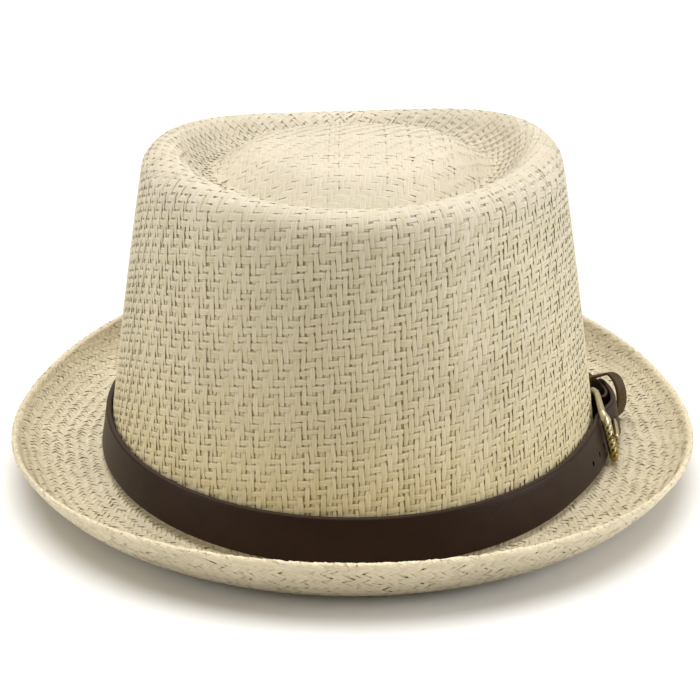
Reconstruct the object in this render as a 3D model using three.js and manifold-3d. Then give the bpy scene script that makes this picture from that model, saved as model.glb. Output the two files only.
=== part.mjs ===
// Straw hat: a woven body with a dented crown and a short curled brim, and a leather belt with a
// brass buckle. Millimetres, +Z up. The wearer faces -Y, the buckle is on the +X side, and the
// hat stands on the underside of its brim.
import * as THREE from 'three';
import { mergeVertices } from 'three/addons/utils/BufferGeometryUtils.js';
import Module from 'manifold-3d';

const wasm = await Module();
wasm.setup();

// Woven body: half sizes of the ovals and heights of the outer surface
const AROUND = 64;
const STRAW_WALL = 1.8;
const BASE_OVAL = { wide: 83.5, long: 104 };
const TOP_OVAL = { wide: 69.3, long: 84 };
const OVAL_FULLNESS = 0.03;
const CROWN_HEIGHT = 107;
const RIM_RADIUS = 9.5;
const RIM_RISE = { side: 0.6, front: -6, back: -4 };
const RIM_SWELL = { rise: 1.6, turn: 62 };
const DENT_DEPTH = 9;
const DOME_RISE = 1.5;
const WALL_BULGE = 0.5;
const BRIM_REACH = { side: 30.3, front: 28.2, back: 36 };
const BRIM_CURL = { side: 9.4, front: 16, back: 23 };
const SIDE_LIFT = 3.4;
const STANDING_PRESS = 0.35;
const CROWN_Y = (BRIM_REACH.front - BRIM_REACH.back) / 2;

// Sections from the tip's centre to the brim's edge, one row for each ring
const TIP_ROWS = [
  { at: 0.22, dent: 0.02 },
  { at: 0.42, dent: 0.1 },
  { at: 0.56, dent: 0.3 },
  { at: 0.67, dent: 0.7 },
  { at: 0.77, dent: 1 },
  { at: 0.86, dent: 0.73 },
  { at: 0.94, dent: 0.22 },
];
const RIM_ROWS = [{ slope: 90 }, { slope: 62 }, { slope: 34 }, { slope: 8 }];
const WALL_ROWS = [{ up: 0.8 }, { up: 0.55 }, { up: 0.3 }, { up: 0.12 }];
const TURN_ROWS = [{ out: -0.45, up: 3.4 }, { out: 0.6, up: 1.2 }, { out: 3.4, up: 0.12 }];
const BRIM_ROWS = [
  { out: 0.36, curl: 0 },
  { out: 0.56, curl: 0.06 },
  { out: 0.75, curl: 0.25 },
  { out: 0.9, curl: 0.6 },
  { out: 1, curl: 1 },
];

// Belt: its path is given by the distance behind the +X point of the crown and out from the wall.
// Flare is how much further out the lower edge stands, high is the share of the full height.
const BELT = { high: 12.6, thick: 1.9, lift: 2.8, chamfer: 0.35, onWall: 1.5, flare: 0.3, wallSteps: 56 };
const BUCKLE_END_ROWS = [
  { along: 0.5, out: 1.2, thick: 1, flare: 0.7 },
  { along: -1.6, out: 1.2, thick: 1, flare: 0.7 },
  { along: -3.8, out: 1.1, thick: 1, flare: 0.7, high: 0.96 },
  { along: -6.2, out: 1.95, thick: 1, flare: 0.7, high: 0.9 },
  { along: -7.3, out: 3.8, thick: 1.2, flare: 0.6, high: 0.88 },
  { along: -6.2, out: 5.5, thick: 1.2, flare: 0.5, high: 0.94 },
  { along: -3.4, out: 6.1, thick: 1.2, flare: 0.5 },
  { along: 1, out: 5.7, thick: 1.4, flare: 0.5 },
  { along: 7, out: 4.7, thick: 1.7, flare: 0.5 },
  { along: 15, out: 3.2, thick: 1.9, flare: 0.4 },
  { along: 23, out: 2, thick: 1.9, flare: 0.3 },
  { along: 31, out: 1.5, thick: 1.9, flare: 0.3 },
];
const TAIL_ROWS = [
  { along: -66, out: 1.5, flare: 0.4 },
  { along: -54, out: 1.9, flare: 1.1 },
  { along: -42, out: 2.5, flare: 1.8 },
  { along: -30.5, out: 2.95, flare: 1.9 },
  { along: -26.5, out: 3.2, flare: 1.8 },
  { along: -21, out: 4.9, flare: 1.4 },
  { along: -12, out: 7.7, flare: 0.9 },
  { along: -3, out: 8.2, flare: 0.6 },
  { along: 5, out: 7.4, flare: 0.5 },
  { along: 9, out: 6.8, flare: 0.5, high: 0.96 },
  { along: 11.6, out: 6.5, flare: 0.5, high: 0.74 },
  { along: 13, out: 6.4, flare: 0.5, high: 0.36 },
];
const HOLES = { first: -17, pitch: 8, count: 5, radius: 0.9, below: 1.7 };

const FRAME = {
  heel: { along: -4, out: 3.4 }, near: { along: -30.5, out: 5.4 }, half: 7.8, corner: 2.4, lean: 0.15,
};
const FRAME_BAR = { radius: 0.85, nearWide: 1.9, nearThick: 1 };
const PRONG = { radius: 0.8, collar: 1.5, clearance: 0.35 };
const KEEPER = { along: 4.4, skew: 0.25, inner: 1.15, outer: 13.3, half: 7.7, corner: 2, wide: 5, thick: 1.1 };

const STRAW_LOOK = { color: 0xd8caa4, roughness: 0.85, metalness: 0 };
const LEATHER_LOOK = { color: 0x3a2c26, roughness: 0.5, metalness: 0 };
const BRASS_LOOK = { color: 0xb08d4a, roughness: 0.35, metalness: 1 };

const sideShare = (turn) => Math.cos(turn) ** 2;

// A value that differs at the sides, front and back, and runs smoothly between them
function around(value, turn) {
  const lengthwise = Math.sin(turn) < 0 ? value.front : value.back;
  return value.side * sideShare(turn) + lengthwise * (1 - sideShare(turn));
}

// A point of an oval that is a little fuller than an ellipse
function ovalPoint(turn, wide, long, fullness = OVAL_FULLNESS) {
  const c = Math.cos(turn);
  const s = Math.sin(turn);
  return new THREE.Vector2(wide * c * (1 + fullness * s * s), long * s * (1 + fullness * c * c));
}

function ovalNormal(turn) {
  const step = 0.001;
  const ahead = ovalPoint(turn + step, BASE_OVAL.wide, BASE_OVAL.long);
  const behind = ovalPoint(turn - step, BASE_OVAL.wide, BASE_OVAL.long);
  const tangent = ahead.sub(behind).normalize();
  return new THREE.Vector2(tangent.y, -tangent.x);
}

const brimFoot = (turn) => STRAW_WALL - STANDING_PRESS + SIDE_LIFT * sideShare(turn);

function crestHeight(turn) {
  const swell = Math.max(0, Math.cos(turn - THREE.MathUtils.degToRad(RIM_SWELL.turn))) ** 3;
  return CROWN_HEIGHT + around(RIM_RISE, turn) + RIM_SWELL.rise * swell;
}

// One point of the crown's wall: up is 0 at the brim and 1 under the rounded rim
function wallPoint(turn, up) {
  const low = brimFoot(turn);
  const slope = THREE.MathUtils.degToRad(RIM_ROWS[RIM_ROWS.length - 1].slope);
  const high = crestHeight(turn) - RIM_RADIUS * (1 - Math.sin(slope));
  const bulge = WALL_BULGE * 4 * up * (1 - up);
  const wide = THREE.MathUtils.lerp(BASE_OVAL.wide, TOP_OVAL.wide, up) + bulge;
  const long = THREE.MathUtils.lerp(BASE_OVAL.long, TOP_OVAL.long, up) + bulge;
  const plan = ovalPoint(turn, wide, long);
  return new THREE.Vector3(plan.x, plan.y + CROWN_Y, THREE.MathUtils.lerp(low, high, up));
}

// The outer surface at one turn, as points from the tip down to the brim's edge
function outerSection(turn) {
  const points = [];
  const crest = crestHeight(turn);
  for (const row of TIP_ROWS) {
    const wide = (TOP_OVAL.wide - RIM_RADIUS) * row.at;
    const long = (TOP_OVAL.long - RIM_RADIUS) * row.at;
    const plan = ovalPoint(turn, wide, long, OVAL_FULLNESS * row.at);
    const level = THREE.MathUtils.lerp(CROWN_HEIGHT, crest, row.at ** 2) + DOME_RISE * (1 - row.at) ** 2;
    points.push(new THREE.Vector3(plan.x, plan.y + CROWN_Y, level - DENT_DEPTH * row.dent));
  }
  for (const row of RIM_ROWS) {
    const slope = THREE.MathUtils.degToRad(row.slope);
    const inset = RIM_RADIUS * (1 - Math.cos(slope));
    const plan = ovalPoint(turn, TOP_OVAL.wide - inset, TOP_OVAL.long - inset);
    points.push(new THREE.Vector3(plan.x, plan.y + CROWN_Y, crest - RIM_RADIUS * (1 - Math.sin(slope))));
  }
  for (const row of WALL_ROWS) points.push(wallPoint(turn, row.up));
  const foot = ovalPoint(turn, BASE_OVAL.wide, BASE_OVAL.long);
  const normal = ovalNormal(turn);
  const place = (out, up) => {
    const z = brimFoot(turn) + up;
    points.push(new THREE.Vector3(foot.x + normal.x * out, foot.y + normal.y * out + CROWN_Y, z));
  };
  for (const row of TURN_ROWS) place(row.out, row.up);
  for (const row of BRIM_ROWS) place(around(BRIM_REACH, turn) * row.out, around(BRIM_CURL, turn) * row.curl);
  return points;
}

// A closed skin over rings of points, each with as many points, ended by points or joined in a loop
function skin(rings, { loop = false, startPoint = null, endPoint = null } = {}) {
  const sides = rings[0].length;
  const positions = rings.flat().flatMap((point) => [point.x, point.y, point.z]);
  const index = [];
  const last = loop ? rings.length : rings.length - 1;
  for (let r = 0; r < last; r += 1) {
    for (let i = 0; i < sides; i += 1) {
      const next = (i + 1) % sides;
      const a = r * sides + i;
      const b = r * sides + next;
      const c = ((r + 1) % rings.length) * sides + next;
      const d = ((r + 1) % rings.length) * sides + i;
      index.push(a, b, c, a, c, d);
    }
  }
  if (!loop) {
    const middle = (ring) => ring.reduce((sum, p) => sum.add(p), new THREE.Vector3()).divideScalar(sides);
    const ends = [
      { point: startPoint ?? middle(rings[0]), first: 0, reverse: true },
      { point: endPoint ?? middle(rings[rings.length - 1]), first: (rings.length - 1) * sides, reverse: false },
    ];
    for (const end of ends) {
      const centre = positions.length / 3;
      positions.push(end.point.x, end.point.y, end.point.z);
      for (let i = 0; i < sides; i += 1) {
        const a = end.first + i;
        const b = end.first + ((i + 1) % sides);
        index.push(...(end.reverse ? [b, a, centre] : [a, b, centre]));
      }
    }
  }
  const geometry = new THREE.BufferGeometry();
  geometry.setAttribute('position', new THREE.Float32BufferAttribute(positions, 3));
  geometry.setIndex(signedVolume(positions, index) < 0 ? index.reverse() : index);
  return geometry;
}

function signedVolume(positions, index) {
  const corner = (i) => new THREE.Vector3().fromArray(positions, index[i] * 3);
  let volume = 0;
  for (let i = 0; i < index.length; i += 3) {
    volume += corner(i).dot(corner(i + 1).cross(corner(i + 2)));
  }
  return volume / 6;
}

// Cutting with other solids
function toManifold(geometry) {
  const plain = geometry.clone();
  plain.deleteAttribute('normal');
  plain.deleteAttribute('uv');
  const merged = mergeVertices(plain);
  return new wasm.Manifold(new wasm.Mesh({
    numProp: 3,
    vertProperties: new Float32Array(merged.attributes.position.array),
    triVerts: new Uint32Array(merged.index.array),
  }));
}

function cutBy(geometry, tools) {
  let solid = toManifold(geometry);
  for (const tool of tools) solid = solid.subtract(toManifold(tool));
  return fromManifold(solid);
}

function fromManifold(solid) {
  const mesh = solid.getMesh();
  const geometry = new THREE.BufferGeometry();
  geometry.setAttribute('position', new THREE.Float32BufferAttribute(mesh.vertProperties, 3));
  geometry.setIndex(Array.from(mesh.triVerts));
  return geometry;
}

// The woven body: the outer skin, and the same sections set in by the wall's thickness
function strawBody() {
  const turns = Array.from({ length: AROUND }, (_, i) => (i / AROUND) * Math.PI * 2);
  const sections = turns.map(outerSection);
  const rows = sections[0].length;
  const tip = new THREE.Vector3(0, CROWN_Y, CROWN_HEIGHT + DOME_RISE);
  const outer = Array.from({ length: rows }, (_, r) => sections.map((section) => section[r]));
  const inner = outer.map((ring, r) => ring.map((point, i) => {
    const before = r > 0 ? outer[r - 1][i] : tip;
    const after = outer[Math.min(r + 1, rows - 1)][i];
    const down = after.clone().sub(before);
    const along = ring[(i + 1) % AROUND].clone().sub(ring[(i + AROUND - 1) % AROUND]);
    const inset = down.cross(along).normalize().multiplyScalar(-STRAW_WALL);
    const under = point.clone().add(inset);
    under.z = Math.max(under.z, 0);
    return under;
  }));
  const tipInside = tip.clone().setZ(tip.z - STRAW_WALL);
  return skin([...outer, ...inner.reverse()], { startPoint: tip, endPoint: tipInside });
}

// Places on the belt's path: turns from distances, and points at a height above the brim
const turnOf = (along) => along / BASE_OVAL.long;

function beltPoint(turn, out, height) {
  const wallHeight = crestHeight(turn) - RIM_RADIUS - brimFoot(turn);
  const point = wallPoint(turn, height / wallHeight);
  const normal = ovalNormal(turn);
  return point.set(point.x + normal.x * out, point.y + normal.y * out, brimFoot(turn) + height);
}

const beltMiddle = BELT.lift + BELT.high / 2;
const pathPoint = (row, above = 0) => beltPoint(turnOf(row.along), row.out, beltMiddle + above);

function beltPath() {
  const firstOnWall = turnOf(BUCKLE_END_ROWS[BUCKLE_END_ROWS.length - 1].along);
  const lastOnWall = Math.PI * 2 + turnOf(TAIL_ROWS[0].along);
  const plain = { out: BELT.onWall, thick: BELT.thick, flare: BELT.flare, high: 1 };
  const stations = BUCKLE_END_ROWS.map((row) => ({ ...plain, ...row, turn: turnOf(row.along) }));
  for (let i = 1; i < BELT.wallSteps; i += 1) {
    stations.push({ ...plain, turn: THREE.MathUtils.lerp(firstOnWall, lastOnWall, i / BELT.wallSteps) });
  }
  for (const row of TAIL_ROWS) stations.push({ ...plain, ...row, turn: Math.PI * 2 + turnOf(row.along) });
  return stations;
}

function leatherBelt() {
  const stations = beltPath();
  const centres = stations.map(({ turn, out }) => beltPoint(turn, out, beltMiddle));
  const rings = stations.map(({ turn, out, thick, flare, high }, k) => {
    const before = centres[Math.max(k - 1, 0)];
    const after = centres[Math.min(k + 1, centres.length - 1)];
    const run = after.clone().sub(before).setZ(0).normalize();
    const across = new THREE.Vector3(run.y, -run.x, 0);
    const halfHigh = (BELT.high * high) / 2;
    const halfThick = thick / 2;
    const edge = halfHigh - BELT.chamfer;
    const face = halfThick - BELT.chamfer;
    const outline = [
      [halfThick, -edge], [halfThick, edge], [face, halfHigh], [-face, halfHigh],
      [-halfThick, edge], [-halfThick, -edge], [-face, -halfHigh], [face, -halfHigh],
    ];
    return outline.map(([off, above]) => {
      const point = beltPoint(turn, out - (flare * above) / BELT.high, beltMiddle + above);
      return point.addScaledVector(across, off);
    });
  });
  const holes = [];
  for (let i = 1; i < HOLES.count; i += 1) holes.push(holePunch(HOLES.first - i * HOLES.pitch));
  return cutBy(skin(rings), [prong(PRONG.clearance), ...holes]);
}

// A round cutter across the strap at one of its holes
function holePunch(along) {
  const place = pathPoint({ along, out: BELT.onWall }, -HOLES.below);
  const normal = ovalNormal(turnOf(along));
  const cutter = new THREE.CylinderGeometry(HOLES.radius, HOLES.radius, 20, 8);
  const outward = new THREE.Vector3(normal.x, normal.y, 0);
  cutter.applyQuaternion(new THREE.Quaternion().setFromUnitVectors(new THREE.Vector3(0, 1, 0), outward));
  cutter.translate(place.x + normal.x * 8, place.y + normal.y * 8, place.z);
  return cutter;
}

// The frame's own axes: towards the near bar, up along the leaning wall, and out
function frameAxes() {
  const heel = pathPoint(FRAME.heel);
  const near = pathPoint(FRAME.near);
  const forward = near.clone().sub(heel).normalize();
  const middle = { along: (FRAME.heel.along + FRAME.near.along) / 2, out: 0 };
  const top = pathPoint({ ...middle, out: -FRAME.lean }, 1);
  const bottom = pathPoint({ ...middle, out: FRAME.lean }, -1);
  const up = top.sub(bottom).normalize();
  const out = forward.clone().cross(up).negate().normalize();
  const length = near.distanceTo(heel);
  return { heel, forward, up, out, length };
}

// A closed rounded rectangle of bars, with a broader near bar
function buckleFrame() {
  const { heel, forward, up, out, length } = frameAxes();
  const { half, corner } = FRAME;
  const outline = new THREE.Path();
  outline.moveTo(0, -half + corner);
  outline.lineTo(0, half - corner);
  outline.absarc(corner, half - corner, corner, Math.PI, Math.PI / 2, true);
  outline.lineTo(length - corner, half);
  outline.absarc(length - corner, half - corner, corner, Math.PI / 2, 0, true);
  outline.lineTo(length, -half + corner);
  outline.absarc(length - corner, -half + corner, corner, 0, -Math.PI / 2, true);
  outline.lineTo(corner, -half);
  outline.absarc(corner, -half + corner, corner, -Math.PI / 2, -Math.PI, true);
  const points = outline.getPoints(4).filter((p, i, all) => i === 0 || p.distanceTo(all[i - 1]) > 0.01);
  if (points[0].distanceTo(points[points.length - 1]) < 0.01) points.pop();
  const rings = points.map((p, k) => {
    const before = points[(k + points.length - 1) % points.length];
    const after = points[(k + 1) % points.length];
    const run = after.clone().sub(before).normalize();
    const sideways = new THREE.Vector2(run.y, -run.x);
    const nearShare = THREE.MathUtils.smoothstep(p.x, length - 2.4, length);
    const wide = THREE.MathUtils.lerp(FRAME_BAR.radius, FRAME_BAR.nearWide, nearShare);
    const thick = THREE.MathUtils.lerp(FRAME_BAR.radius, FRAME_BAR.nearThick, nearShare);
    return Array.from({ length: 8 }, (_, i) => {
      const angle = ((i + 0.5) / 8) * Math.PI * 2;
      const shift = wide * Math.cos(angle);
      return heel.clone()
        .addScaledVector(forward, p.x + sideways.x * shift)
        .addScaledVector(up, p.y + sideways.y * shift)
        .addScaledVector(out, thick * Math.sin(angle));
    });
  });
  return skin(rings, { loop: true });
}

// The prong: a collar round the heel bar and a slim bar that rests on the near bar
function prong(grow = 0) {
  const { heel, forward, up, out, length } = frameAxes();
  const rest = FRAME_BAR.nearThick + PRONG.radius + 0.3;
  const bow = [
    { along: 1.2, out: PRONG.collar },
    { along: 5, out: 1.7 },
    { along: 9.5, out: 2.3 },
    { along: 14, out: 3.2 },
    { along: 18.5, out: 3.3 },
    { along: length - 1.5, out: rest },
    { along: length + 1.6, out: rest - 0.2 },
  ];
  const radius = PRONG.radius + grow;
  const rings = bow.map((row, k) => {
    const taper = k === bow.length - 1 ? 0.7 : 1;
    const reach = grow > 0 && k === 0 ? -1 : 0;
    return Array.from({ length: 8 }, (_, i) => {
      const angle = ((i + 0.5) / 8) * Math.PI * 2;
      return heel.clone()
        .addScaledVector(forward, row.along + reach)
        .addScaledVector(out, row.out + radius * taper * Math.sin(angle))
        .addScaledVector(up, radius * taper * Math.cos(angle));
    });
  });
  return skin(rings);
}

// The loop that holds the strap's end, a flat band bent to a rounded box
function keeperLoop() {
  const { along, skew, inner, outer, half, corner, wide, thick } = KEEPER;
  const outline = new THREE.Path();
  outline.moveTo(inner, -half + corner);
  outline.lineTo(inner, half - corner);
  outline.absarc(inner + corner, half - corner, corner, Math.PI, Math.PI / 2, true);
  outline.lineTo(outer - half * 0.6, half);
  outline.absellipse(outer - half * 0.6, 0, half * 0.6, half, Math.PI / 2, -Math.PI / 2, true);
  outline.lineTo(inner + corner, -half);
  outline.absarc(inner + corner, -half + corner, corner, -Math.PI / 2, -Math.PI, true);
  const points = outline.getPoints(5).filter((p, i, all) => i === 0 || p.distanceTo(all[i - 1]) > 0.01);
  if (points[0].distanceTo(points[points.length - 1]) < 0.01) points.pop();
  const rings = points.map((p, k) => {
    const before = points[(k + points.length - 1) % points.length];
    const after = points[(k + 1) % points.length];
    const run = after.clone().sub(before).normalize();
    const outward = new THREE.Vector2(-run.y, run.x);
    const corners = [[wide / 2, thick / 2], [wide / 2, -thick / 2], [-wide / 2, -thick / 2], [-wide / 2, thick / 2]];
    return corners.map(([ahead, off]) => pathPoint(
      { along: along + ahead + p.x * skew, out: p.x + outward.x * off },
      p.y + outward.y * off,
    ));
  });
  return skin(rings, { loop: true });
}

function piece(name, geometry, look) {
  geometry.computeVertexNormals();
  const mesh = new THREE.Mesh(geometry, new THREE.MeshStandardMaterial(look));
  mesh.name = name;
  return mesh;
}

const hat = new THREE.Group();
hat.add(piece('straw_body', strawBody(), STRAW_LOOK));
hat.add(piece('leather_belt', leatherBelt(), LEATHER_LOOK));
hat.add(piece('buckle_frame', buckleFrame(), BRASS_LOOK));
hat.add(piece('buckle_prong', prong(), BRASS_LOOK));
hat.add(piece('keeper_loop', keeperLoop(), LEATHER_LOOK));

export default hat;
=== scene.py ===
import math
from functools import partial

import bmesh
import bpy
import numpy as np
from mathutils import Matrix, Vector


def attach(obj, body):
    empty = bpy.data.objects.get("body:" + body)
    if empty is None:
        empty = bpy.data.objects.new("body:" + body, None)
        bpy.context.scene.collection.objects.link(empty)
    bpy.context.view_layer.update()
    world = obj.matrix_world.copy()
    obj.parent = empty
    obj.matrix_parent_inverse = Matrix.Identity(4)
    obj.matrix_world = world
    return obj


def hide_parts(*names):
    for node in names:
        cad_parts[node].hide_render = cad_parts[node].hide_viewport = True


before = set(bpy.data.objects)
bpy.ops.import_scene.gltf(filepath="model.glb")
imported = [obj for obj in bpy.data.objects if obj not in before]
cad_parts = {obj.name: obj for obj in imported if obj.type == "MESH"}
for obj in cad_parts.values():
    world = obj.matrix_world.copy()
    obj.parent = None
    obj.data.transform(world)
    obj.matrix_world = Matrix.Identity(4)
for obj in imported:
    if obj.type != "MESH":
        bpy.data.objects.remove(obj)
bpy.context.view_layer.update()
mm = 0.001


def hexToLinear(code):  # sRGB hex to the linear colour that the shaders want
    parts = [int(code[i:i + 2], 16) / 255 for i in (1, 3, 5)]
    return tuple(c / 12.92 if c <= 0.04045 else ((c + 0.055) / 1.055) ** 2.4 for c in parts) + (1,)


def addNode(tree, kind, inputs=None, **settings):
    # kind: a shader node's without its prefix. inputs: a socket's name or number to a value, socket or node
    node = tree.nodes.new(kind if "Node" in kind else "ShaderNode" + kind)
    for key, value in settings.items():
        setattr(node, key, value)
    for key, value in (inputs or {}).items():
        if isinstance(value, bpy.types.Node):  # a node stands for its first output that is in use
            value = next(socket for socket in value.outputs if socket.enabled)
        if isinstance(value, bpy.types.NodeSocket):
            tree.links.new(value, node.inputs[key])
        else:
            isHex = isinstance(value, str) and value.startswith("#")
            node.inputs[key].default_value = hexToLinear(value) if isHex else value
    return node


def addObject(name, data):
    thing = bpy.data.objects.new(name, data)
    bpy.context.scene.collection.objects.link(thing)
    return thing


def facing(way):  # how a camera or a lamp is turned to look along a way
    return Vector(way).to_track_quat("-Z", "Y").to_euler()


# the photograph's camera
view = {"target": (-0.8, -3.9, 33.6), "distance": 560, "elevation": 18.43, "lens": 83.8, "sensor": 36}
elevation = math.radians(view["elevation"])
target = Vector(view["target"]) * mm
cameraData = bpy.data.cameras.new("camera")
cameraData.lens, cameraData.sensor_width = view["lens"], view["sensor"]
camera = addObject("camera", cameraData)
camera.location = target + Vector((0, -math.cos(elevation), math.sin(elevation))) * view["distance"] * mm
camera.rotation_euler = facing(target - camera.location)
bpy.context.scene.camera = camera

# hat's shape, in mm as in the solids
hat = {
    "wall": 1.8, "baseWide": 83.5, "baseLong": 104, "topWide": 69.3, "topLong": 84, "fullness": 0.03,
    "crownHeight": 107, "rimRadius": 9.5, "swellRise": 2.2, "swellTurn": 38, "dentDepth": 9, "domeRise": 1.5,
    "rim": (0.6, -6, -4.6), "reach": (30.3, 28.2, 36), "curl": (9.4, 15.6, 23),  # side, front, back
    "bulge": 0.5, "sideLift": 3.4, "press": 0.35,
    "tipRows": [(0.22, 0.01), (0.42, 0.06), (0.56, 0.23), (0.67, 0.64), (0.77, 0.98), (0.86, 0.73),
                (0.94, 0.22)],  # share of the way out, share of the dent
    "rimSlopes": [90, 62, 34, 8], "wallUps": [0.8, 0.55, 0.3, 0.12],
    "turnRows": [(-0.45, 3.4), (0.6, 1.2), (3.4, 0.12)],  # out, up
    "brimRows": [(0.36, 0.005), (0.56, 0.08), (0.75, 0.28), (0.9, 0.62), (1, 1)],  # shares of reach and curl
    "columns": 320, "sectionSteps": 5,
}
crownY = (hat["reach"][1] - hat["reach"][2]) / 2
columns = hat["columns"]


def around(values, turn):  # from the side's value to the front's or the back's
    share = np.cos(turn) ** 2
    return values[0] * share + np.where(np.sin(turn) < 0, values[1], values[2]) * (1 - share)


def ovalPoint(turn, wide, long, fullness):
    c, s = np.cos(turn), np.sin(turn)
    return np.stack([wide * c * (1 + fullness * s * s), long * s * (1 + fullness * c * c)], -1)


def basePoint(turn):
    return ovalPoint(turn, hat["baseWide"], hat["baseLong"], hat["fullness"])


def ovalNormal(turn):
    run = basePoint(turn + 1e-3) - basePoint(turn - 1e-3)
    run = run / np.linalg.norm(run, axis=-1, keepdims=True)
    return np.stack([run[..., 1], -run[..., 0]], -1)


def placed(plan, level):  # a place in plan, measured from the crown's middle, and its height
    return np.stack([plan[..., 0], plan[..., 1] + crownY, level], -1)


def brimFoot(turn):
    return hat["wall"] - hat["press"] + hat["sideLift"] * np.cos(turn) ** 2


def crestHeight(turn):
    swell = np.maximum(0, np.cos(turn - math.radians(hat["swellTurn"]))) ** 3
    return hat["crownHeight"] + around(hat["rim"], turn) + hat["swellRise"] * swell


def wallPlan(turn, up):
    bulge = hat["bulge"] * 4 * up * (1 - up)
    wide = hat["baseWide"] + (hat["topWide"] - hat["baseWide"]) * up + bulge
    long = hat["baseLong"] + (hat["topLong"] - hat["baseLong"]) * up + bulge
    return ovalPoint(turn, wide, long, hat["fullness"])


def catmull(rows, steps):  # a smooth curve through the rows, steps points to each gap
    rows = np.asarray(rows, float)
    padded = np.concatenate([[2 * rows[0] - rows[1]], rows, [2 * rows[-1] - rows[-2]]])
    out = []
    for i in range(len(rows) - 1):
        p0, p1, p2, p3 = padded[i:i + 4]
        for t in np.arange(steps) / steps:
            out.append(0.5 * (2 * p1 + (p2 - p0) * t + (2 * p0 - 5 * p1 + 4 * p2 - p3) * t ** 2
                              + (3 * p1 - p0 - 3 * p2 + p3) * t ** 3))
    return np.array(out + [rows[-1]])


def outerRows(turn):  # key rows of the outer surface, from the tip's centre to the brim's edge
    zero = np.zeros_like(turn)
    crest, low, radius = crestHeight(turn), brimFoot(turn), hat["rimRadius"]
    topWide, topLong = hat["topWide"] - radius, hat["topLong"] - radius
    rows = [placed(np.stack([zero, zero], -1), zero + hat["crownHeight"] + hat["domeRise"])]
    for at, dent in hat["tipRows"]:
        plan = ovalPoint(turn, topWide * at, topLong * at, hat["fullness"] * at)
        level = hat["crownHeight"] + (crest - hat["crownHeight"]) * at ** 2 + hat["domeRise"] * (1 - at) ** 2
        rows.append(placed(plan, level - hat["dentDepth"] * dent))
    for angle in map(math.radians, hat["rimSlopes"]):
        inset = radius * (1 - math.cos(angle))
        plan = ovalPoint(turn, hat["topWide"] - inset, hat["topLong"] - inset, hat["fullness"])
        high = crest - radius * (1 - math.sin(angle))
        rows.append(placed(plan, high))
    for up in hat["wallUps"]:
        rows.append(placed(wallPlan(turn, up), low + (high - low) * up))
    places = [(zero + out, zero + up) for out, up in hat["turnRows"]]
    reach, curl = around(hat["reach"], turn), around(hat["curl"], turn)
    places += [(reach * out, curl * up) for out, up in hat["brimRows"]]
    for out, up in places:
        rows.append(placed(basePoint(turn) + ovalNormal(turn) * out[..., None], low + up))
    return np.array(rows)


def alongRows(grid):  # from the point before to the one after, where a row goes once round
    return np.roll(grid, -1, -2) - np.roll(grid, 1, -2)


def surfaceNormals(grid):
    normal = np.cross(np.gradient(grid, axis=0), alongRows(grid))
    return normal / np.maximum(np.linalg.norm(normal, axis=-1, keepdims=True), 1e-9)


perimeterTurns = np.linspace(-1.5 * np.pi, 0.5 * np.pi, 4001)  # once round, from the back
perimeterSteps = np.linalg.norm(np.diff(basePoint(perimeterTurns), axis=0), axis=1)
perimeterAt = np.concatenate([[0], np.cumsum(perimeterSteps)])
basePerimeter = perimeterAt[-1]


def turnAt(share):  # share of the way round, 0 and 1 at the back, 0.5 at the front
    return np.interp(share * basePerimeter, perimeterAt, perimeterTurns)


smoothOuter = catmull(outerRows(turnAt(np.arange(columns) / columns)), hat["sectionSteps"])
outerNormal = surfaceNormals(smoothOuter)
outerNormal[0] = (0, 0, 1)
keyRow = {name: row * hat["sectionSteps"] for name, row in (("channel", 5), ("crest", 8), ("foot", 16))}
keyRow["edge"] = len(smoothOuter) - 1
ground = {"tip": 0.42, "outside": 0.52, "inside": 1.25,  # depths under the outer surface, below the straws
          "fadeRows": 20, "lowest": 0.3, "edgeSteps": 5}


def shellGrid():
    fade = [keyRow["crest"], keyRow["crest"] + ground["fadeRows"]]
    depth = np.interp(np.arange(len(smoothOuter)), fade, [ground["tip"], ground["outside"]])
    top = smoothOuter - outerNormal * depth[:, None, None]
    bottom = smoothOuter - outerNormal * ground["inside"]
    bottom[..., 2] = np.maximum(bottom[..., 2], ground["lowest"])
    middle, half = (top[-1] + bottom[-1]) / 2, (top[-1] - bottom[-1]) / 2
    beyond = np.cross(outerNormal[-1], alongRows(smoothOuter[-1]))
    beyond *= np.sign(np.mean(beyond[:, 0] * smoothOuter[-1][:, 0]))
    beyond *= np.linalg.norm(half, axis=-1, keepdims=True) / np.linalg.norm(beyond, axis=-1, keepdims=True)
    angles = math.pi * np.arange(1, ground["edgeSteps"]) / ground["edgeSteps"]
    arc = [middle + half * math.cos(angle) + beyond * math.sin(angle) for angle in angles]
    return np.concatenate([top, arc, bottom[::-1]])


shell = shellGrid()
shellNormal = surfaceNormals(shell)
shellNormal[0], shellNormal[-1] = (0, 0, 1), (0, 0, -1)
shellRows = len(shell)


def innerRow(row):  # the same place on the inside
    return 2 * keyRow["edge"] + ground["edgeSteps"] - row


print("hat surface:", shell.shape)


def makeMesh(name, points, faces, unit=mm):
    mesh = bpy.data.meshes.new(name)
    mesh.from_pydata((np.asarray(points) * unit).tolist(), [], faces)
    mesh.update()
    return mesh


def addValues(mesh, values):  # by name, values for the mesh's points: one each, or three of a vector
    for name, numbers in values.items():
        numbers = np.asarray(numbers, np.float32)
        kind, field = ("FLOAT_VECTOR", "vector") if numbers.size > len(mesh.vertices) else ("FLOAT", "value")
        mesh.attributes.new(name, kind, "POINT").data.foreach_set(field, numbers.ravel())


def makePiece(name, mesh, material, replaces=()):
    mesh.materials.clear()
    mesh.materials.append(material)
    mesh.shade_smooth()
    piece = addObject(name, mesh)
    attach(piece, "root")
    if replaces:
        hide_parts(*replaces)


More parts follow.
